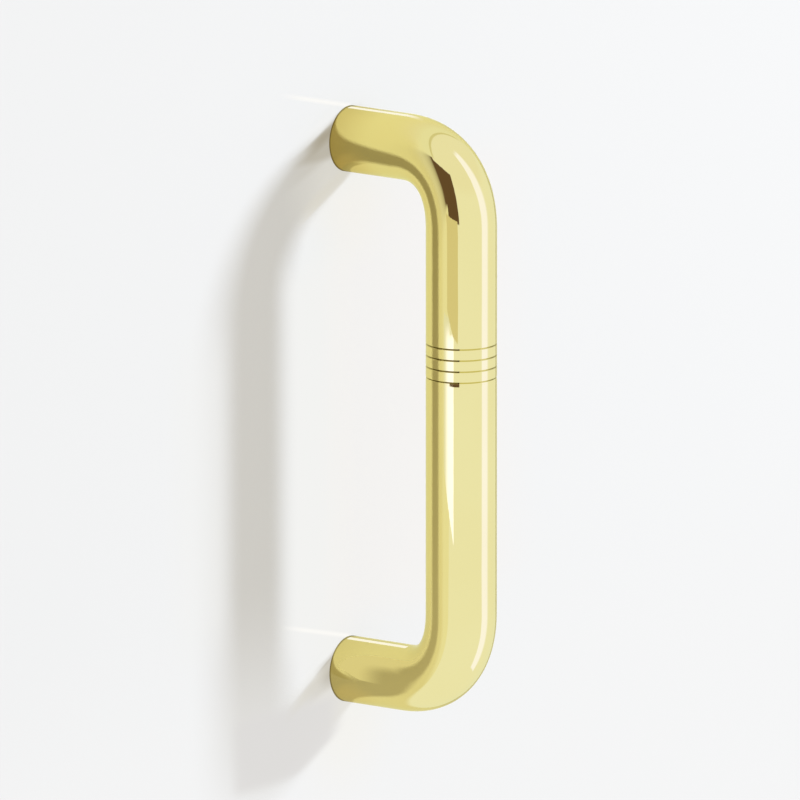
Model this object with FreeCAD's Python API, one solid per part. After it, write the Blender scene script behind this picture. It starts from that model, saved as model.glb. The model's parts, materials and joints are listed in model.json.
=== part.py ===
import FreeCAD, Part
import math
import os

from FreeCAD import Placement, Rotation, Vector

# Bow pull handle for a glass shower door: one solid brass bar of round section, bent into a wide
# staple. Millimetres, +Z up. Both feet end in the plane y = 0, which lies on the door, and the
# handle stands out towards -Y. The origin is on that plane, midway between the feet.

# Driving dimensions: between the fixings, from the door to the grip's axis, and across the bar
fixing_centres = 152.4
stand_off = 39.2
grip_dia = 20.0
leg_dia = 18.7

# Bends: how far each reaches along the leg and along the grip. A squareness of 2 is a quarter of
# an ellipse, and above 2 the curve leaves the straights with no jump in its curvature.
bend_along_leg = 19.4
bend_along_grip = 21.7
bend_squareness = 2.3
bend_sections = 12
bend_surface_degree = 3

# V-shaped grooves turned in the grip, above its middle. The bar is eased by a hair below the lowest
# one, which shows as a short mark in the polish.
groove_count = 4
groove_pitch = 3.18
groove_width = 0.52
groove_angle = 90.0
top_groove_height = 22.3
lip_height = 0.95
lip_depth = 0.08

# Feet: a small broken edge, and a blind hole tapped for the M6 bolt that comes through the glass
foot_edge_break = 0.2
hole_core_dia = 5.0
hole_mouth_dia = 6.4
hole_depth = 16.0
drill_point_angle = 118.0

half_centres = fixing_centres / 2
leg_r = leg_dia / 2
grip_r = grip_dia / 2
leg_straight = stand_off - bend_along_leg
grip_half_straight = half_centres - bend_along_grip
groove_depth = groove_width / 2 / math.tan(math.radians(groove_angle / 2))
sideways = Vector(1, 0, 0)
outwards = Vector(0, -1, 0)
up = Vector(0, 0, 1)


def ease(share):
    """0 to 1 with a level start and end, so that the bar thickens with no edge."""
    return share * share * (3 - 2 * share)


def bend_station(share):
    """Place, direction and radius on the upper bend: share 0 at the leg, 1 at the grip."""
    power = 2 / bend_squareness
    sine = math.sin(share * math.pi / 2)
    cosine = math.sin((1 - share) * math.pi / 2)
    y = -leg_straight - bend_along_leg * sine ** power
    z = grip_half_straight + bend_along_grip * cosine ** power
    direction = Vector(0, -bend_along_leg * cosine ** (2 - power), -bend_along_grip * sine ** (2 - power))
    radius = leg_r + (grip_r - leg_r) * ease(share)
    return Vector(0, y, z), direction.normalize(), radius


def section(place, direction, radius):
    """A circle square to the centre line, which always starts on the bar's +X side."""
    circle = Part.makeCircle(radius)
    turn = Rotation(sideways, direction.cross(sideways), direction, "ZXY")
    circle.Placement = Placement(place, turn)
    return Part.Wire([circle])


def upper_bend():
    """A solid lofted from the leg to the grip, as one smooth surface through its sections."""
    sections = [section(*bend_station(i / bend_sections)) for i in range(bend_sections + 1)]
    solid = True
    ruled = False
    closed = False
    return Part.makeLoft(sections, solid, ruled, closed, bend_surface_degree)


def leg(height):
    return Part.makeCylinder(leg_r, leg_straight, Vector(0, 0, height), outwards)


def grip():
    return Part.makeCylinder(grip_r, 2 * grip_half_straight, Vector(0, -stand_off, -grip_half_straight), up)


def turned(profile, centre, axis, across):
    """A solid turned about an axis through centre, from points (distance from the axis, along it)."""
    points = [centre + across * radius + axis * along for radius, along in profile]
    face = Part.Face(Part.makePolygon(points + points[:1]))
    return face.revolve(centre, axis, 360)


def groove_half_width(depth):
    """Half the groove's width at a depth below the bar's surface, or above it where depth is negative."""
    return groove_width / 2 * (1 - depth / groove_depth)


def groove(height):
    """What the turning tool takes out, its flanks carried on past the bar's surface."""
    root_r = grip_r - groove_depth
    open_r = grip_r + groove_depth
    half_open = groove_half_width(-groove_depth)
    profile = [(root_r, 0), (open_r, -half_open), (open_r, half_open)]
    return turned(profile, Vector(0, -stand_off, height), up, sideways)


def lowest_groove_lip():
    """What is eased off the bar just below the lowest groove, from its lower flank down."""
    lowest = top_groove_height - (groove_count - 1) * groove_pitch
    start = lowest - groove_half_width(lip_depth)
    inner = grip_r - lip_depth
    outer = grip_r + lip_depth
    profile = [(inner, 0), (outer, 0), (outer, -2 * lip_height)]
    return turned(profile, Vector(0, -stand_off, start), up, sideways)


def bolt_hole(height):
    """A drilled hole with a countersunk mouth in the foot and a drill point at its bottom."""
    core_r = hole_core_dia / 2
    mouth_r = hole_mouth_dia / 2
    mouth_end = mouth_r - core_r
    point_end = hole_depth + core_r / math.tan(math.radians(drill_point_angle / 2))
    profile = [(0, 0), (mouth_r, 0), (core_r, mouth_end), (core_r, hole_depth), (0, point_end)]
    return turned(profile, Vector(0, 0, height), outwards, up)


def edge_break(height):
    """What the bevel round the foot takes off."""
    inner = leg_r - foot_edge_break
    outer = leg_r + foot_edge_break
    profile = [(inner, 0), (outer, 0), (outer, 2 * foot_edge_break)]
    return turned(profile, Vector(0, 0, height), outwards, up)


def pull_handle():
    bend = upper_bend()
    bent_bar = grip().fuse([bend, bend.mirror(Vector(0, 0, 0), up), leg(half_centres), leg(-half_centres)])
    cuts = [groove(top_groove_height - i * groove_pitch) for i in range(groove_count)]
    cuts.append(lowest_groove_lip())
    for height in (half_centres, -half_centres):
        cuts.append(bolt_hole(height))
        cuts.append(edge_break(height))
    return bent_bar.cut(cuts)


os.makedirs("parts", exist_ok=True)
pull_handle().exportStep("parts/pull_handle.step")
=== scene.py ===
import json
import math

import bmesh
import bpy
from mathutils import Matrix, Vector


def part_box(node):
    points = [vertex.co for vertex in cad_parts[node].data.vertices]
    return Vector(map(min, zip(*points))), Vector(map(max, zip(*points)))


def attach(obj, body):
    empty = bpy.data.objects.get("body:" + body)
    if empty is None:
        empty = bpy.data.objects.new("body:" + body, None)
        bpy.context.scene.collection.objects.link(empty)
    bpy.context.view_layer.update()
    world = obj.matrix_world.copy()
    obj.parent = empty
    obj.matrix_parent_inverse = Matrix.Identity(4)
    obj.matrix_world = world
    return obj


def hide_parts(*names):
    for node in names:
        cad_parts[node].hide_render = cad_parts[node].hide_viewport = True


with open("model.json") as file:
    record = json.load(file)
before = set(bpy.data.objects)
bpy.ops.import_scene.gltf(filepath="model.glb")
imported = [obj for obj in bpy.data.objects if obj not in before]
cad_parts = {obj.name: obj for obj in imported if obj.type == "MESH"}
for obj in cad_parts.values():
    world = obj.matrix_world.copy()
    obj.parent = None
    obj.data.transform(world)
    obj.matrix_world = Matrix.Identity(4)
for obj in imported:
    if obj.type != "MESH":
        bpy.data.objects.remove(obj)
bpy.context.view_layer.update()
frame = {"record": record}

# A bow pull handle of polished brass on a white wall. Metres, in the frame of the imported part: +Z up
# along the grip, and the wall in the plane y = 0, with the handle standing out towards -Y.
MM = 0.001

# The bar's main sizes come from the frame: its box, and the bolt holes' spacing, depth and core
bar_low, bar_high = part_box("pull_handle")
bolts = next(mount for mount in frame["record"]["mounts"] if mount["name"] == "door_bolts")
half_centres = bolts["dims"]["spacing_y_mm"] / 2 * MM
hole_core_r = bolts["dims"]["hole_r_mm"] * MM
countersink = -bolts["pos_m"][1]
grip_r = bar_high.x
leg_r = bar_high.z - half_centres
stand_off = -bar_low.y - grip_r

# Bends, as in the part's source: their reach along the leg and the grip, and how square they are
bend_along_leg = 19.4 * MM
bend_along_grip = 21.7 * MM
bend_squareness = 2.3
leg_straight = stand_off - bend_along_leg
grip_half_straight = half_centres - bend_along_grip

# V-shaped grooves turned round the grip, and the bar eased by a hair below the lowest one
groove_count = 4
groove_pitch = 3.18 * MM
groove_width = 0.52 * MM
groove_angle = math.radians(90)
groove_depth = groove_width / 2 / math.tan(groove_angle / 2)
top_groove_height = 22.3 * MM
lip_height = 0.95 * MM
lip_depth = 0.08 * MM

# Feet: a broken edge, and a blind hole with an M6 thread, whose form is too fine for the solids
foot_edge_break = 0.2 * MM
hole_depth = 16.0 * MM
drill_point_angle = math.radians(118)
thread_pitch = 1.0 * MM
thread_depth = 0.5 * MM
thread_rings_per_turn = 10

# How finely the bar is divided
facets_round = 120
leg_stations = 8
bend_stations = 56
grip_stations = 24
sharp_edge = math.radians(4.2)

# The photograph's view: nearly parallel, from the left and a little above
view_turn = math.radians(54.02)
view_drop = math.radians(12.0)
view_width = 224.66 * MM
view_centre_right = 14.522 * MM
view_centre_up = 1.019 * MM
view_depth = -12 * MM
lens = 1500
sensor = 36

# Colours of the brass and of the studio
BRASS = "#EAE1A3"
BRASS_WARM = "#E7DC9A"
BRASS_EDGE = "#F2F4E3"
GROOVE_SHADE = "#6A5A1E"
BRASS_DRILLED = "#C9B263"
STUDIO_WHITE = "#F5F5F5"
DOME_FRONT = "#F9FBFF"
AMBIENT = "#FFEBC6"
DARK_CURTAIN = "#6C5544"
SKY_LIGHT = "#CFD1FF"
PALE_CARD = "#EAE1C2"
FILL_CARD = "#EFE8CB"
WALL_SHADED = "#ABB2BE"
WALL_LIFT = "#F6F6F6"
WALL_LIT = "#F3F3F1"
WALL_BOUNCED_LIGHT = "#FFF4EA"
WALL_THROWN = "#F6F2E6"
WALL_WARM_SHADE = "#7D6A30"
WALL_DIM = "#DEDCDA"
WALL_DIM_WARM = "#DBD7CB"
WALL_LINE = "#FFFDF8"
WALL_IN_BRASS = "#A0A190"
WALL_GLOW = "#F7F1DB"
WALL_FAR = "#FDFBE9"
WALL_PALE = "#FBFCF0"
WALL_SIDE = "#B4AE98"
WALL_END = "#E6E2C6"
FOOT_THROWN = "#F2DCA8"
FOOT_DUSK = "#BA9C50"
FOOT_SHADE = "#B4A880"
FOOT_MEETING = "#3A2E1A"

# How bright the front of the studio's dome is
dome_strength = 1.078


def linear(hex_colour, strength=1.0):
    """An sRGB hex colour as linear RGBA, times a strength."""
    shares = [int(hex_colour[i:i + 2], 16) / 255 for i in (1, 3, 5)]
    rgb = [s / 12.92 if s <= 0.04045 else ((s + 0.055) / 1.055) ** 2.4 for s in shares]
    return [strength * c for c in rgb] + [1.0]


def add(tree, kind, inputs=None, **settings):
    """Adds a node. Settings are its properties, and inputs its sockets by name or number."""
    node = tree.nodes.new(kind)
    for name, value in settings.items():
        setattr(node, name, value)
    for name, value in (inputs or {}).items():
        if isinstance(value, bpy.types.NodeSocket):
            tree.links.new(value, node.inputs[name])
        else:
            node.inputs[name].default_value = value
    return node


# Numbers of the colour sockets on a Mix node
MIX_FACTOR, MIX_A, MIX_B, MIX_RESULT = 0, 6, 7, 2


def new_material(name):
    """A material with an empty node tree."""
    material = bpy.data.materials.new(name)
    material.use_nodes = True
    material.node_tree.nodes.clear()
    return material, material.node_tree


def rise(tree, value, start, full, low=0.0, high=1.0):
    """A mask that goes smoothly from low at the start to high at the full value."""
    return add(tree, "ShaderNodeMapRange", {
        "Value": value, "From Min": start, "From Max": full, "To Min": low, "To Max": high},
        interpolation_type="SMOOTHSTEP").outputs[0]


def product(tree, *factors):
    """Masks and strengths, multiplied."""
    whole = factors[0]
    for factor in factors[1:]:
        whole = add(tree, "ShaderNodeMath", {0: whole, 1: factor}, operation="MULTIPLY").outputs[0]
    return whole


def span(tree, value, start, full, fading, end):
    """A mask that rises from 0 at the start to 1, and from fading on falls to 0 at the end."""
    return product(tree, rise(tree, value, start, full), rise(tree, value, end, fading))


def within(tree, angle, limits):
    """A span over angles, whose four limits are in degrees."""
    return span(tree, angle, *(math.radians(limit) for limit in limits))


def lacquered_brass():
    """Brass turned, bent, buffed to a mirror and lacquered. The eye sees a pale gold mirror whose
    tone drifts a little, faint lines along the bar from the buffing wheel, and fine grooves painted dark
    as painted shade, fainter over one band of bearings."""
    drift_size = 30 * MM
    smudge_size = 9 * MM
    # Buffing lines are about 0.1 mm apart, and are drawn at 0.6 mm so that they show
    line_spacing = 0.6 * MM
    line_length = 14 * MM
    line_height = 0.004 * MM
    polish = 0.03
    smudge = 0.02
    smudge_from, smudge_full = 0.35, 0.75
    groove_roughness = 0.08
    groove_shade, faint_groove_shade = 0.62, 0.08
    groove_shade_edge = 0.25
    faint_groove_bearings = (-59, -57, -11, 12)

    material, tree = new_material("lacquered_polished_brass")
    place = add(tree, "ShaderNodeTexCoord").outputs["Object"]
    drift = add(tree, "ShaderNodeTexNoise", {"Vector": place, "Scale": 1 / drift_size, "Detail": 2})
    smudges = add(tree, "ShaderNodeTexNoise", {"Vector": place, "Scale": 1 / smudge_size, "Detail": 4})

    section = add(tree, "ShaderNodeAttribute", attribute_name="section_place").outputs["Vector"]
    along = add(tree, "ShaderNodeAttribute", attribute_name="along").outputs["Fac"]
    in_groove = add(tree, "ShaderNodeAttribute", attribute_name="groove").outputs["Fac"]
    round_bar = add(tree, "ShaderNodeVectorMath", {
        0: section, "Scale": grip_r / line_spacing}, operation="SCALE").outputs[0]
    along_bar = add(tree, "ShaderNodeCombineXYZ", {"Z": product(tree, along, 1 / line_length)}).outputs[0]
    stretched = add(tree, "ShaderNodeVectorMath", {0: round_bar, 1: along_bar}, operation="ADD").outputs[0]
    lines = add(tree, "ShaderNodeTexNoise", {"Vector": stretched, "Scale": 1, "Detail": 2})

    tone = add(tree, "ShaderNodeMix", {
        MIX_FACTOR: drift.outputs["Fac"], MIX_A: linear(BRASS), MIX_B: linear(BRASS_WARM)},
        data_type="RGBA")
    # The grooves' painted shade is faint over one band of bearings round the grip
    axes = add(tree, "ShaderNodeSeparateXYZ", {0: place}).outputs
    out_of_grip = add(tree, "ShaderNodeMath", {0: -stand_off, 1: axes["Y"]}, operation="SUBTRACT")
    bearing = add(tree, "ShaderNodeMath", {0: axes["X"], 1: out_of_grip.outputs[0]}, operation="ARCTAN2")
    groove_shade_share = add(tree, "ShaderNodeMapRange", {
        "Value": within(tree, bearing.outputs[0], faint_groove_bearings), "To Min": groove_shade,
        "To Max": faint_groove_shade}).outputs[0]
    colour = add(tree, "ShaderNodeMix", {
        MIX_FACTOR: product(tree, groove_shade_share, rise(tree, in_groove, 0.0, groove_shade_edge)),
        MIX_A: tone.outputs[MIX_RESULT], MIX_B: linear(GROOVE_SHADE)}, data_type="RGBA")
    gloss = add(tree, "ShaderNodeMapRange", {
        "Value": smudges.outputs["Fac"], "From Min": smudge_from, "From Max": smudge_full,
        "To Min": polish, "To Max": polish + smudge})
    roughness = add(tree, "ShaderNodeMapRange", {
        "Value": in_groove, "To Min": gloss.outputs[0], "To Max": groove_roughness})
    bump = add(tree, "ShaderNodeBump", {
        "Height": lines.outputs["Fac"], "Distance": line_height, "Strength": 1.0})
    brass = add(tree, "ShaderNodeBsdfPrincipled", {
        "Base Color": colour.outputs[MIX_RESULT], "Metallic": 1.0, "Roughness": roughness.outputs[0],
        "Specular Tint": linear(BRASS_EDGE), "Coat Weight": 0.1, "Coat Roughness": 0.02, "Coat IOR": 1.5,
        "Normal": bump.outputs[0]})
    add(tree, "ShaderNodeOutputMaterial", {"Surface": brass.outputs[0]})
    return material


def drilled_brass():
    """Bare brass as the drill and the tap leave it: a deeper gold, dull, with rings from the tool."""
    ring_spacing = 0.25 * MM
    ring_height = 0.01 * MM
    ring_wander = 1.5
    least_rough, most_rough = 0.24, 0.36
    material, tree = new_material("drilled_brass")
    place = add(tree, "ShaderNodeTexCoord").outputs["Object"]
    rings = add(tree, "ShaderNodeTexWave", {
        "Vector": place, "Scale": 1 / ring_spacing, "Distortion": ring_wander}, bands_direction="Y")
    bump = add(tree, "ShaderNodeBump", {"Height": rings.outputs["Fac"], "Distance": ring_height})
    roughness = add(tree, "ShaderNodeMapRange", {
        "Value": rings.outputs["Fac"], "To Min": least_rough, "To Max": most_rough})
    brass = add(tree, "ShaderNodeBsdfPrincipled", {
        "Base Color": linear(BRASS_DRILLED), "Metallic": 1.0, "Roughness": roughness.outputs[0],
        "Normal": bump.outputs[0]})
    add(tree, "ShaderNodeOutputMaterial", {"Surface": brass.outputs[0]})
    return material


def ease(share):
    """0 to 1 with a level start and end, so that the bar thickens with no edge."""
    return share * share * (3 - 2 * share)


def upper_leg_and_bend():
    """Stations (y, z, radius, groove) from the upper foot's edge to the top of the straight grip."""
    stations = [(0.0, half_centres, leg_r - foot_edge_break, 0.0)]
    leg_run = leg_straight - foot_edge_break
    for i in range(leg_stations):
        stations.append((-foot_edge_break - leg_run * i / leg_stations, half_centres, leg_r, 0.0))
    power = 2 / bend_squareness
    for i in range(bend_stations + 1):
        share = i / bend_stations
        reach_out = math.sin(share * math.pi / 2) ** power
        reach_up = math.sin((1 - share) * math.pi / 2) ** power
        y = -leg_straight - bend_along_leg * reach_out
        z = grip_half_straight + bend_along_grip * reach_up
        stations.append((y, z, leg_r + (grip_r - leg_r) * ease(share), 0.0))
    return stations


def groove_half_width(depth):
    """Half the groove's width at a depth below the bar's surface."""
    return groove_width / 2 * (1 - depth / groove_depth)


def grip_with_grooves():
    """Stations down the straight grip, which narrows to each groove's root and back."""
    half_open = groove_half_width(0)
    profile = []
    for i in range(groove_count):
        height = top_groove_height - i * groove_pitch
        profile.append((height + half_open, grip_r, 0.0))
        profile.append((height, grip_r - groove_depth, 1.0))
        profile.append((height - half_open, grip_r, 0.0))
    lip_start = height - groove_half_width(lip_depth)
    profile[-1] = (lip_start, grip_r - lip_depth, 0.0)
    profile.append((lip_start - lip_height, grip_r, 0.0))
    first_cut, last_cut = profile[0][0], profile[-1][0]
    for i in range(1, grip_stations):
        height = grip_half_straight * (1 - 2 * i / grip_stations)
        if not last_cut - groove_pitch / 2 < height < first_cut + groove_pitch / 2:
            profile.append((height, grip_r, 0.0))
    return [(-stand_off, z, radius, groove) for z, radius, groove in sorted(profile, reverse=True)]


def centre_line():
    """The bar's centre line from foot to foot, as a chain of points that carry the bar's radius."""
    upper = upper_leg_and_bend()
    lower = [(y, -z, radius, groove) for y, z, radius, groove in reversed(upper)]
    stations = upper + grip_with_grooves() + lower
    mesh = bpy.data.meshes.new("centre_line")
    links = [(i, i + 1) for i in range(len(stations) - 1)]
    mesh.from_pydata([(0.0, y, z) for y, z, _, _ in stations], links, [])
    for name, column in (("bar_radius", 2), ("groove", 3)):
        values = mesh.attributes.new(name, "FLOAT", "POINT")
        values.data.foreach_set("value", [station[column] for station in stations])
    return mesh


def swept_bar_tree():
    """Geometry nodes: a round section of the bar's radius, swept along the centre line."""
    tree = bpy.data.node_groups.new("swept_bar", "GeometryNodeTree")
    face = tree.interface
    face.new_socket("Centre line", in_out="INPUT", socket_type="NodeSocketGeometry")
    face.new_socket("Facets round the bar", in_out="INPUT", socket_type="NodeSocketInt")
    face.new_socket("Finish", in_out="INPUT", socket_type="NodeSocketMaterial")
    face.new_socket("Bar", in_out="OUTPUT", socket_type="NodeSocketGeometry")
    given = add(tree, "NodeGroupInput").outputs
    line = add(tree, "GeometryNodeMeshToCurve", {"Mesh": given["Centre line"]})
    length = add(tree, "GeometryNodeSplineParameter").outputs["Length"]
    measured = add(tree, "GeometryNodeStoreNamedAttribute", {
        "Geometry": line.outputs[0], "Name": "along", "Value": length}, data_type="FLOAT", domain="POINT")
    circle = add(tree, "GeometryNodeCurvePrimitiveCircle", {
        "Resolution": given["Facets round the bar"], "Radius": 1.0})
    corner = add(tree, "GeometryNodeInputPosition").outputs[0]
    section = add(tree, "GeometryNodeStoreNamedAttribute", {
        "Geometry": circle.outputs[0], "Name": "section_place", "Value": corner},
        data_type="FLOAT_VECTOR", domain="POINT")
    radius = add(tree, "GeometryNodeInputNamedAttribute", {"Name": "bar_radius"}, data_type="FLOAT")
    sweep = add(tree, "GeometryNodeCurveToMesh", {
        "Curve": measured.outputs[0], "Profile Curve": section.outputs[0], "Scale": radius.outputs[0]})
    smooth = add(tree, "GeometryNodeSetShadeSmooth", {"Geometry": sweep.outputs[0]})
    real = add(tree, "GeometryNodeRealizeInstances", {"Geometry": smooth.outputs[0]})
    dressed = add(tree, "GeometryNodeSetMaterial", {
        "Geometry": real.outputs[0], "Material": given["Finish"]})
    add(tree, "NodeGroupOutput", {"Bar": dressed.outputs[0]})
    return tree


def swept_bar(finish):
    """The bar's outside, from the edge of one foot round to the other, as a plain mesh."""
    carrier = bpy.data.objects.new("centre_line", centre_line())
    bpy.context.scene.collection.objects.link(carrier)
    tree = swept_bar_tree()
    sweep = carrier.modifiers.new("sweep", "NODES")
    sweep.node_group = tree
    wanted = {"Facets round the bar": facets_round, "Finish": finish}
    for item in tree.interface.items_tree:
        if item.name in wanted:
            sweep[item.identifier] = wanted[item.name]
    graph = bpy.context.evaluated_depsgraph_get()
    mesh = bpy.data.meshes.new_from_object(carrier.evaluated_get(graph))
    bpy.data.objects.remove(carrier)
    return mesh


def thread_wave(turns):
    """The thread's profile over one turn: 0 on the crest and 1 in the root, with sloped flanks."""
    place = turns % 1.0
    flank, root = 0.4, 0.1
    if place < flank:
        return place / flank
    if place < flank + root:
        return 1.0
    return max(0.0, 1.0 - (place - flank - root) / flank)


def tapped_foot(mesh_builder, rim, height):
    """Closes a foot: its flat face, the countersink, the thread and the drill point. The rim is the
    bar's own last ring, so that the face joins it corner to corner."""
    angles = [math.atan2(corner.co.z - height, corner.co.x) for corner in rim]
    finest = thread_pitch / thread_rings_per_turn
    ring_count = round((hole_depth - countersink) / finest)

    def ring(y, radius_at):
        places = [(radius_at(a) * math.cos(a), y, height + radius_at(a) * math.sin(a)) for a in angles]
        return [mesh_builder.verts.new(place) for place in places]

    def wall_radius(depth):
        run_out = min(depth - countersink, hole_depth - depth) / thread_pitch
        fade = ease(max(0.0, min(1.0, run_out)))
        turns = depth / thread_pitch
        return lambda a: hole_core_r + thread_depth * fade * thread_wave(turns + a / math.tau)

    mouth_r = hole_core_r + countersink
    rings = [rim, ring(0.0, lambda a: mouth_r)]
    for i in range(ring_count + 1):
        depth = countersink + i * finest
        rings.append(ring(-depth, wall_radius(depth)))
    point_depth = hole_depth + hole_core_r / math.tan(drill_point_angle / 2)
    tip = mesh_builder.verts.new((0.0, -point_depth, height))
    count = len(angles)
    for row, (near, far) in enumerate(zip(rings, rings[1:])):
        for i in range(count):
            corner = (i + 1) % count
            face = mesh_builder.faces.new((near[i], near[corner], far[corner], far[i]))
            face.material_index = 0 if row == 0 else 1
    for i in range(count):
        face = mesh_builder.faces.new((rings[-1][i], rings[-1][(i + 1) % count], tip))
        face.material_index = 1


def handle_bar():
    """The whole handle as one closed mesh."""
    polished = lacquered_brass()
    mesh = swept_bar(polished)
    mesh.name = "handle_bar"
    mesh.materials.append(drilled_brass())
    builder = bmesh.new()
    builder.from_mesh(mesh)
    builder.verts.ensure_lookup_table()
    ends = [list(builder.verts)[:facets_round], list(builder.verts)[-facets_round:]]
    for rim in ends:
        tapped_foot(builder, rim, math.copysign(half_centres, rim[0].co.z))
    bmesh.ops.recalc_face_normals(builder, faces=builder.faces)
    for face in builder.faces:
        face.smooth = True
    builder.to_mesh(mesh)
    builder.free()
    mesh.set_sharp_from_angle(angle=sharp_edge)
    piece = bpy.data.objects.new("handle_bar", mesh)
    bpy.context.scene.collection.objects.link(piece)
    return piece


def flat_panel(name, corners, material):
    """A flat panel that belongs to the studio and not to the handle."""
    mesh = bpy.data.meshes.new(name)
    mesh.from_pydata(corners, [], [range(len(corners))])
    mesh.materials.append(material)
    panel = bpy.data.objects.new(name, mesh)
    bpy.context.scene.collection.objects.link(panel)
    return panel


def places_on_wall(tree):
    """How far a place on the wall is to the left, its height, and its height above the nearer foot,
    all in millimetres."""
    place = add(tree, "ShaderNodeTexCoord").outputs["Object"]
    in_mm = add(tree, "ShaderNodeVectorMath", {0: place, "Scale": 1 / MM}, operation="SCALE").outputs[0]
    axes = add(tree, "ShaderNodeSeparateXYZ", {0: in_mm}).outputs
    left = product(tree, axes["X"], -1.0)
    side = add(tree, "ShaderNodeMath", {0: axes["Z"]}, operation="SIGN").outputs[0]
    foot_height = product(tree, side, half_centres / MM)
    above_foot = add(tree, "ShaderNodeMath", {0: axes["Z"], 1: foot_height}, operation="SUBTRACT")
    return left, axes["Z"], above_foot.outputs[0]


def over_line(tree, height, left, fall):
    """The height over a line that falls by a share of the way to the left."""
    return add(tree, "ShaderNodeMath", {0: left, 1: fall, 2: height}, operation="MULTIPLY_ADD").outputs[0]


def distance(tree, left, height, centre_left=0.0, centre_height=0.0):
    """How far a place on the wall is from a centre."""
    here = add(tree, "ShaderNodeCombineXYZ", {"X": left, "Y": height}).outputs[0]
    return add(tree, "ShaderNodeVectorMath", {
        0: here, 1: (centre_left, centre_height, 0.0)}, operation="DISTANCE").outputs["Value"]


def cover(tree, mask, below, colour):
    """Lays a colour's light over a shader where the mask is 1."""
    light = add(tree, "ShaderNodeEmission", {"Color": colour}).outputs[0]
    return add(tree, "ShaderNodeMixShader", {0: mask, 1: below, 2: light}).outputs[0]


def patched(tree, below, patches):
    """Lays patches over a shader in turn. Each has a colour, a strength and the masks of its place."""
    for colour, strength, *masks in patches:
        below = cover(tree, product(tree, strength, *masks), below, linear(colour))
    return below


def backdrop_paint():
    """White paint for the wall and the floor, as the camera sees it: lifted towards white by painted
    light, more so low down, where the light shadow grows fainter, and clear from behind. Patches of
    painted light and shade laid over it give the shadow its edges and paint a faint reflection of each
    leg. Their limits are in millimetres."""
    lift, most_lift = 0.44, 0.69
    most_warm_shade = 0.13
    material, tree = new_material("backdrop_paint")
    left, z, above_foot = places_on_wall(tree)
    upper, lower = rise(tree, z, 0, 60), rise(tree, z, 0, -60)
    shaded = add(tree, "ShaderNodeBsdfDiffuse", {"Color": linear(WALL_SHADED)}).outputs[0]
    seen = cover(tree, rise(tree, z, -40, -95, lift, most_lift), shaded, linear(WALL_LIFT))

    # Painted light slims the grip's shadow along both edges, and painted warm light lies on the wall
    # behind the grip
    beside_grip = [
        (WALL_LIT, 1.0, span(tree, left, -5, 10, 22, 37), span(tree, z, -80, -60, 35, 50)),
        (WALL_LIT, 0.5, span(tree, left, 53, 64, 75, 90), span(tree, z, -72, -45, 15, 45)),
        (WALL_BOUNCED_LIGHT, 0.2, span(tree, left, -95, -60, -2, 16), span(tree, z, -72, -55, 55, 72)),
    ]
    # Painted light that each leg throws down on the wall, and painted warm shade in its shadow close to
    # the foot, which stands for the leg's dark side reflected and the shade at its foot
    thrown = rise(tree, distance(tree, left, above_foot, 2, -12), 32, 5)
    in_shadow = over_line(tree, above_foot, left, 0.325)
    under_top = rise(tree, in_shadow, 8, 6.3)
    far_from_lower = product(tree, lower, rise(tree, left, 14, 26))
    warm_shade = add(tree, "ShaderNodeMapRange", {
        "Value": far_from_lower, "To Min": most_warm_shade, "To Max": 0.0}).outputs[0]
    dark_spot = rise(tree, distance(tree, left, above_foot, 9, 3), 9, 1)
    from_legs = [
        (WALL_THROWN, 0.35, thrown),
        (WALL_WARM_SHADE, warm_shade, span(tree, in_shadow, -2.5, 0.5, 3.5, 5.5), span(tree, left, -8, 0, 16, 34)),
        (WALL_WARM_SHADE, 0.38, dark_spot, rise(tree, in_shadow, 9, 7), lower),
        (WALL_WARM_SHADE, 0.25, rise(tree, above_foot, -5.5, -3), under_top, span(tree, left, -8, 0, 16, 32),
         upper),
    ]
    # Painted shadow and painted light give the legs' shadows crisp edges near the feet: the lower edges,
    # and then the upper ones
    bottom_edge = over_line(tree, above_foot, left, 0.45)
    top_of_lower = over_line(tree, above_foot, left, 0.54)
    along_lower = product(tree, span(tree, left, 7, 10, 20, 32), lower)
    top_of_upper = over_line(tree, above_foot, left, 0.39)
    along_upper = product(tree, span(tree, left, 5, 8, 12, 22), upper)
    leg_shadow_edges = [
        (WALL_DIM, 0.85, rise(tree, bottom_edge, -17.2, -13.2), span(tree, above_foot, -29, -24.5, -9, -4),
         span(tree, left, 0, 12, 50, 58), lower),
        (WALL_DIM_WARM, 0.8, span(tree, bottom_edge, -11.8, -10.2, -8.5, -5),
         span(tree, left, -3, 3, 14, 26), upper),
        (WALL_LIT, 0.5, span(tree, top_of_lower, 9, 10, 11, 14), along_lower),
        (WALL_DIM_WARM, 0.4, span(tree, top_of_lower, 4, 7, 8.4, 9.4), along_lower),
        (WALL_LIT, 0.5, span(tree, top_of_upper, 8.6, 9.6, 11, 14), along_upper),
        (WALL_WARM_SHADE, 0.38, span(tree, top_of_upper, 3.5, 6.5, 8, 9.2), along_upper),
    ]
    # A painted reflection: a fine bright line leaves the top of each leg
    from_line = over_line(tree, above_foot, left, -0.253)
    bright_lines = [
        (WALL_LINE, 0.75, span(tree, from_line, 8.3, 9.4, 9.4, 10.5), span(tree, left, -3, 1, 20, 34)),
    ]
    seen = patched(tree, seen, beside_grip + from_legs + leg_shadow_edges + bright_lines)
    behind = add(tree, "ShaderNodeNewGeometry").outputs["Backfacing"]
    clear = add(tree, "ShaderNodeBsdfTransparent").outputs[0]
    paint = add(tree, "ShaderNodeMixShader", {0: behind, 1: seen, 2: clear})
    add(tree, "ShaderNodeOutputMaterial", {"Surface": paint.outputs[0]})
    return material


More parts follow.
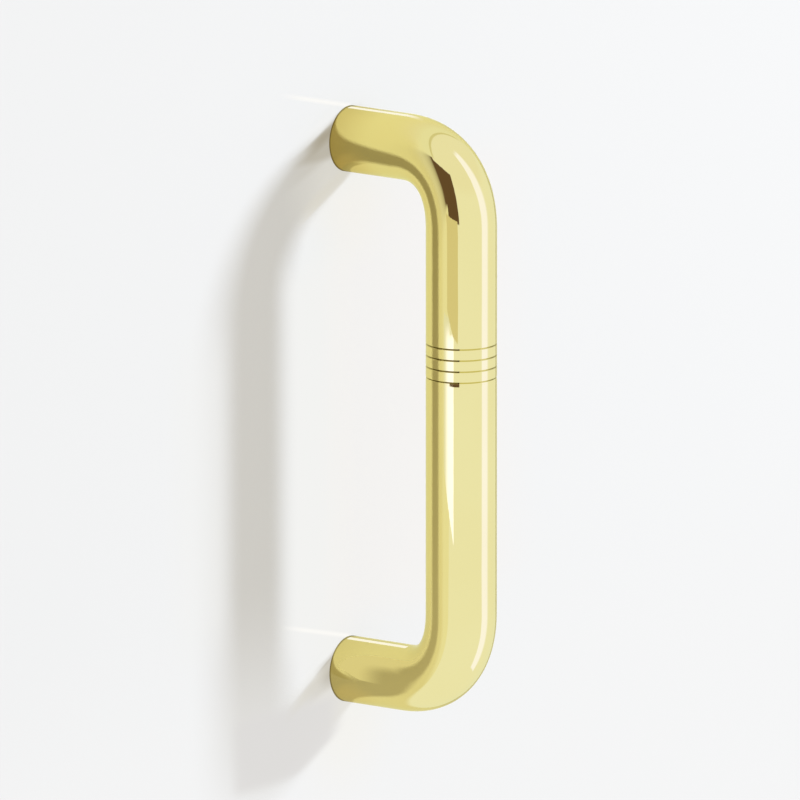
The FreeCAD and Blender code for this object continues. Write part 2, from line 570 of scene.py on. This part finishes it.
def wall_in_brass_paint():
    """The wall as the mirror finish shows it, lit by its own lamp, with painted light and shade: warm and
    shadowed near the handle, paler further up and to the left, browner towards the dark curtain, darker to
    the right and white low down. Limits are in millimetres."""
    least_fill, most_fill = 0.14, 0.355
    least_dusk, most_dusk = 0.13, 0.35
    leg = leg_r / MM
    material, tree = new_material("wall_in_brass")
    left, z, above_foot = places_on_wall(tree)

    shadowed = add(tree, "ShaderNodeBsdfDiffuse", {"Color": linear(WALL_IN_BRASS)}).outputs[0]
    far = add(tree, "ShaderNodeMath", {
        0: rise(tree, z, 90, 170), 1: rise(tree, left, 45, 105)}, operation="MAXIMUM").outputs[0]
    filled = add(tree, "ShaderNodeMath", {
        0: rise(tree, z, 60, -95, least_fill, most_fill), 1: far}, operation="MAXIMUM").outputs[0]
    paler_left = add(tree, "ShaderNodeMix", {
        MIX_FACTOR: rise(tree, left, 45, 110), MIX_A: linear(WALL_GLOW), MIX_B: linear(WALL_FAR)},
        data_type="RGBA").outputs[MIX_RESULT]
    pale = add(tree, "ShaderNodeMix", {
        MIX_FACTOR: rise(tree, z, 70, 280), MIX_A: paler_left, MIX_B: linear(WALL_PALE)},
        data_type="RGBA").outputs[MIX_RESULT]
    lit = cover(tree, filled, shadowed, pale)

    # At each foot, painted: light thrown down, a warm dusk, shadow reaching a little further up at the
    # lower foot and further down at the upper one than the lamp throws it, and shade where leg and wall
    # meet
    from_foot = distance(tree, left, above_foot)
    from_thrown = distance(tree, left, above_foot, 4, -13)
    dusk = rise(tree, z, -60, 60, least_dusk, most_dusk)
    shadow_edge = over_line(tree, above_foot, left, 0.673)
    at_feet = [
        (FOOT_THROWN, 0.25, rise(tree, from_thrown, 20, 4), rise(tree, above_foot, -5, -9)),
        (FOOT_DUSK, dusk, rise(tree, from_foot, 30, 6)),
        (FOOT_SHADE, 0.85, span(tree, shadow_edge, 6.5, 8, 10.2, 11.4), span(tree, left, 4, 7, 15, 22),
         rise(tree, z, 0, -60)),
        (FOOT_SHADE, 0.8, span(tree, shadow_edge, -12.4, -11, -8, -6), span(tree, left, -12, -6, 8, 16),
         rise(tree, z, 0, 60)),
        (FOOT_MEETING, 0.55, rise(tree, from_foot, leg + 0.9, leg + 0.35)),
    ]
    # Painted shade from the curtain grows evenly to the left, under a line that rises away from the handle
    dark = add(tree, "ShaderNodeMapRange", {"Value": left, "From Min": 30, "From Max": 450}).outputs[0]
    under_line = rise(tree, over_line(tree, z, left, -0.7), 75, 45)
    further_off = [
        (DARK_CURTAIN, 1.0, dark, under_line, rise(tree, z, 30, 55)),
        # Painted shade far to the right
        (WALL_SIDE, 0.3, rise(tree, left, -35, -80), rise(tree, z, 125, 100)),
    ]
    lit = patched(tree, lit, at_feet + further_off)

    # Painted light: low down, the wall turns to the dome's white
    right_side = add(tree, "ShaderNodeMath", {0: left, 1: 0.0}, operation="MINIMUM").outputs[0]
    low_down = rise(tree, over_line(tree, z, right_side, -0.5), -125, -141)
    whole = cover(tree, low_down, lit, linear(DOME_FRONT, dome_strength))
    add(tree, "ShaderNodeOutputMaterial", {"Surface": whole})
    return material


def wall_and_floor():
    """The wall for the camera, the same wall for the brass, and the floor. The walls cut a hair into
    the feet, so that the feet's faces stay open to light from behind."""
    half_width = 1.0
    floor_height = -0.2
    wall_top = 1.0
    floor_depth = 1.2
    wall_y = -0.15 * MM
    paint = backdrop_paint()
    upright = [(-half_width, wall_y, floor_height), (half_width, wall_y, floor_height),
               (half_width, wall_y, wall_top), (-half_width, wall_y, wall_top)]
    level = [(-half_width, -floor_depth, floor_height), (half_width, -floor_depth, floor_height),
             (half_width, wall_y, floor_height), (-half_width, wall_y, floor_height)]
    backdrop = [flat_panel("wall", upright, paint), flat_panel("floor", level, paint)]
    for panel in backdrop:
        panel.visible_glossy = False
        panel.visible_diffuse = False
    mirrored = flat_panel("wall_in_brass", upright, wall_in_brass_paint())
    glossy_only(mirrored)
    return backdrop, [mirrored]


def glossy_only(thing):
    """Keeps a reflector out of the camera's sight and off the wall, so that only the metal shows it."""
    thing.visible_camera = False
    thing.visible_diffuse = False
    thing.visible_transmission = False
    thing.visible_shadow = False


def reflector(name, corners, colour, strength, fades=(), clear_fades=()):
    """A glowing card or lit panel near the handle, which its mirror finish shows from one side. Corners
    are in millimetres. A fade names an axis, where along it the light is full and where it has dimmed to
    the dome's, or where the panel has become clear."""
    material, tree = new_material(name)
    place = add(tree, "ShaderNodeTexCoord").outputs["Object"]
    axes = add(tree, "ShaderNodeSeparateXYZ", {0: place}).outputs
    light = linear(colour, strength)
    for axis, full_at, dimmed_at in fades:
        share = rise(tree, axes[axis], full_at * MM, dimmed_at * MM)
        light = add(tree, "ShaderNodeMix", {
            MIX_FACTOR: share, MIX_A: light, MIX_B: linear(DOME_FRONT)},
            data_type="RGBA").outputs[MIX_RESULT]
    glow = add(tree, "ShaderNodeEmission", {"Color": light}).outputs[0]
    hidden = add(tree, "ShaderNodeNewGeometry").outputs["Backfacing"]
    for axis, full_at, clear_at in clear_fades:
        faded = rise(tree, axes[axis], full_at * MM, clear_at * MM)
        hidden = add(tree, "ShaderNodeMath", {0: hidden, 1: faded}, operation="MAXIMUM").outputs[0]
    clear = add(tree, "ShaderNodeBsdfTransparent").outputs[0]
    one_sided = add(tree, "ShaderNodeMixShader", {0: hidden, 1: glow, 2: clear})
    add(tree, "ShaderNodeOutputMaterial", {"Surface": one_sided.outputs[0]})
    panel = flat_panel(name, [(x * MM, y * MM, z * MM) for x, y, z in corners], material)
    glossy_only(panel)


def reflectors():
    """The near things that the brass shows, each glowing with its own light: on the grip a pale card above
    a lit panel, along the top of each leg a thin strip of light, and on the lower leg two cards whose
    painted light covers part of its shadow."""
    card_x = -60
    card = [(-68, 12.0), (-50.5, 15.3), (-31, 23), (-31, 56), (-68, 54)]
    reflector("pale_card", [(card_x, y, z) for y, z in card], PALE_CARD, 1.0)

    panel_x = -100
    panel_strength = 2.35
    panel = [(-60.5, -53.8), (-2, -32), (-2, 12.5), (-37, 12.5), (-38, 7.4), (-60.5, 7.4)]
    panel_fades = [("Y", -34, -3), ("Z", 5, 12)]
    reflector("lit_panel", [(panel_x, y, z) for y, z in panel], SKY_LIGHT, panel_strength, panel_fades)

    strip_height = 10.0
    strip_start = -0.25
    strip_strength = 2.0
    leg_height = half_centres / MM
    upper_strip = ("upper_strip", leg_height, (-0.9, 1.2), -27, [("Y", -20, -27)])
    lower_strip = ("lower_strip", -leg_height, (-1.5, 0.4), -20.5, [])
    for name, axis_z, (x_from, x_to), strip_end, clear_fades in (upper_strip, lower_strip):
        z = axis_z + strip_height
        strip = [(x_from, strip_start, z), (x_to, strip_start, z),
                 (x_to, strip_end, z), (x_from, strip_end, z)]
        reflector(name, strip, SKY_LIGHT, strip_strength, clear_fades=clear_fades)

    side_x, over_x = -12, -12.2
    side_fill = [(-20, -78.6), (-8.7, -77.5), (-1, -73), (-1, -52), (-20, -52)]
    reflector("side_fill", [(side_x, y, z) for y, z in side_fill], FILL_CARD, 1.0,
              clear_fades=[("Y", -7, -17.5)])
    upper_fill = [(-22, -74), (-1, -74), (-1, -52), (-22, -52)]
    reflector("upper_fill", [(over_x, y, z) for y, z in upper_fill], FILL_CARD, 1.0,
              clear_fades=[("Z", -67, -73.5), ("Y", -16, -22)])


def lamp(name, place, size, energy, lit):
    """A round lamp that lights only the given panels, with the same strength near and far. It isn't
    seen itself, by the camera or in the brass."""
    light = bpy.data.lights.new(name, "AREA")
    light.shape = "DISK"
    light.size = size
    light.energy = energy
    light.use_nodes = True
    tree = light.node_tree
    tree.nodes.clear()
    even = add(tree, "ShaderNodeLightFalloff", {"Strength": 1.0})
    glow = add(tree, "ShaderNodeEmission", {"Strength": even.outputs["Constant"]})
    add(tree, "ShaderNodeOutputLight", {"Surface": glow.outputs[0]})
    thing = bpy.data.objects.new(name, light)
    thing.matrix_world = Matrix.Translation(place) @ place.to_track_quat("Z", "Y").to_matrix().to_4x4()
    thing.visible_camera = False
    thing.visible_glossy = False
    bpy.context.scene.collection.objects.link(thing)
    thing.light_linking.receiver_collection = bpy.data.collections.new(name + "_lights")
    for panel in lit:
        thing.light_linking.receiver_collection.objects.link(panel)


# The studio's dome as the metal sees it: bearings from straight out of the wall, positive towards +X,
# and heights above the horizon. Each is the angles, in degrees, over which a zone's light comes in
# and goes out again, followed by its lean, which is the bearing it loses with each degree of height
# above the horizon, and by its colour and strength.
DOME_ZONES = (
    ("upper dome", (-201, -200, 200, 201), (13, 27, 100, 101), 0.0, STUDIO_WHITE, 1.09),
    ("dark curtain", (-96.5, -95.5, -60.5, -59.5), (-6.9, -5.9, 30.5, 31.5), 0.0, DARK_CURTAIN, 1.0),
    ("window", (15, 17, 36, 46), (-50.6, -49.1, 57, 65), 0.25, SKY_LIGHT, 1.93),
)


def studio_dome():
    """Soft white light from all round, with the few zones that give the mirror finish its lines."""
    world = bpy.data.worlds.new("studio_dome")
    bpy.context.scene.world = world
    world.use_nodes = True
    tree = world.node_tree
    tree.nodes.clear()
    direction = add(tree, "ShaderNodeTexCoord").outputs["Generated"]
    axes = add(tree, "ShaderNodeSeparateXYZ", {0: direction}).outputs
    outwards = product(tree, axes["Y"], -1.0)
    bearing = add(tree, "ShaderNodeMath", {0: axes["X"], 1: outwards}, operation="ARCTAN2").outputs[0]
    height = add(tree, "ShaderNodeMath", {0: axes["Z"]}, operation="ARCSINE").outputs[0]
    above_horizon = add(tree, "ShaderNodeMath", {0: height, 1: 0.0}, operation="MAXIMUM").outputs[0]
    light = linear(DOME_FRONT, dome_strength)
    for name, bearings, heights, lean, colour, strength in DOME_ZONES:
        leaning = add(tree, "ShaderNodeMath", {0: above_horizon, 1: lean, 2: bearing},
                      operation="MULTIPLY_ADD").outputs[0]
        mask = product(tree, within(tree, leaning, bearings), within(tree, height, heights))
        light = add(tree, "ShaderNodeMix", {
            MIX_FACTOR: mask, MIX_A: light, MIX_B: linear(colour, strength)},
            data_type="RGBA", label=name).outputs[MIX_RESULT]
    # High up, a fine dull line where the far end of the wall meets the dome
    along_wall = rise(tree, axes["Y"], -0.03, -0.005)
    high_up = rise(tree, axes["Z"], 0.5, 0.66)
    far_end = product(tree, along_wall, high_up)
    light = add(tree, "ShaderNodeMix", {
        MIX_FACTOR: far_end, MIX_A: light, MIX_B: linear(WALL_END)}, data_type="RGBA").outputs[MIX_RESULT]
    in_brass = add(tree, "ShaderNodeBackground", {"Color": light}).outputs[0]
    ambient = add(tree, "ShaderNodeBackground", {"Color": linear(AMBIENT)}).outputs[0]
    plain = add(tree, "ShaderNodeBackground", {"Color": linear(STUDIO_WHITE)}).outputs[0]
    path = add(tree, "ShaderNodeLightPath").outputs
    unseen = add(tree, "ShaderNodeMixShader", {
        0: path["Is Diffuse Ray"], 1: in_brass, 2: ambient}).outputs[0]
    both = add(tree, "ShaderNodeMixShader", {0: path["Is Camera Ray"], 1: unseen, 2: plain})
    add(tree, "ShaderNodeOutputWorld", {"Surface": both.outputs[0]})


def camera():
    """A very long lens, so that the view is nearly parallel, as the photograph's is."""
    right = Vector((math.cos(view_turn), -math.sin(view_turn), 0))
    forward = Vector((math.sin(view_turn) * math.cos(view_drop), math.cos(view_turn) * math.cos(view_drop),
                      -math.sin(view_drop)))
    up = right.cross(forward)
    step_back = view_width * lens / sensor
    place = right * view_centre_right + up * view_centre_up + forward * (view_depth - step_back)
    eye = bpy.data.cameras.new("photo_view")
    eye.lens = lens
    eye.sensor_width = sensor
    eye.clip_end = 100
    seat = bpy.data.objects.new("photo_view", eye)
    seat.matrix_world = Matrix.Translation(place) @ forward.to_track_quat("-Z", "Y").to_matrix().to_4x4()
    bpy.context.scene.collection.objects.link(seat)
    bpy.context.scene.camera = seat


bar = handle_bar()
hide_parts("pull_handle")
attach(bar, "root")

# The shadow on the wall and the shadow in the brass don't agree in the photograph, so each has its lamp
backdrop, mirrored = wall_and_floor()
lamp("key", Vector((1.214, -1.085, 0.638)), size=0.36, energy=19.5, lit=backdrop)
lamp("key_in_brass", Vector((0.312, -0.39, 0.21)), size=0.075, energy=23.3, lit=mirrored)
studio_dome()
reflectors()
camera()
bpy.context.scene.view_settings.view_transform = "Standard"
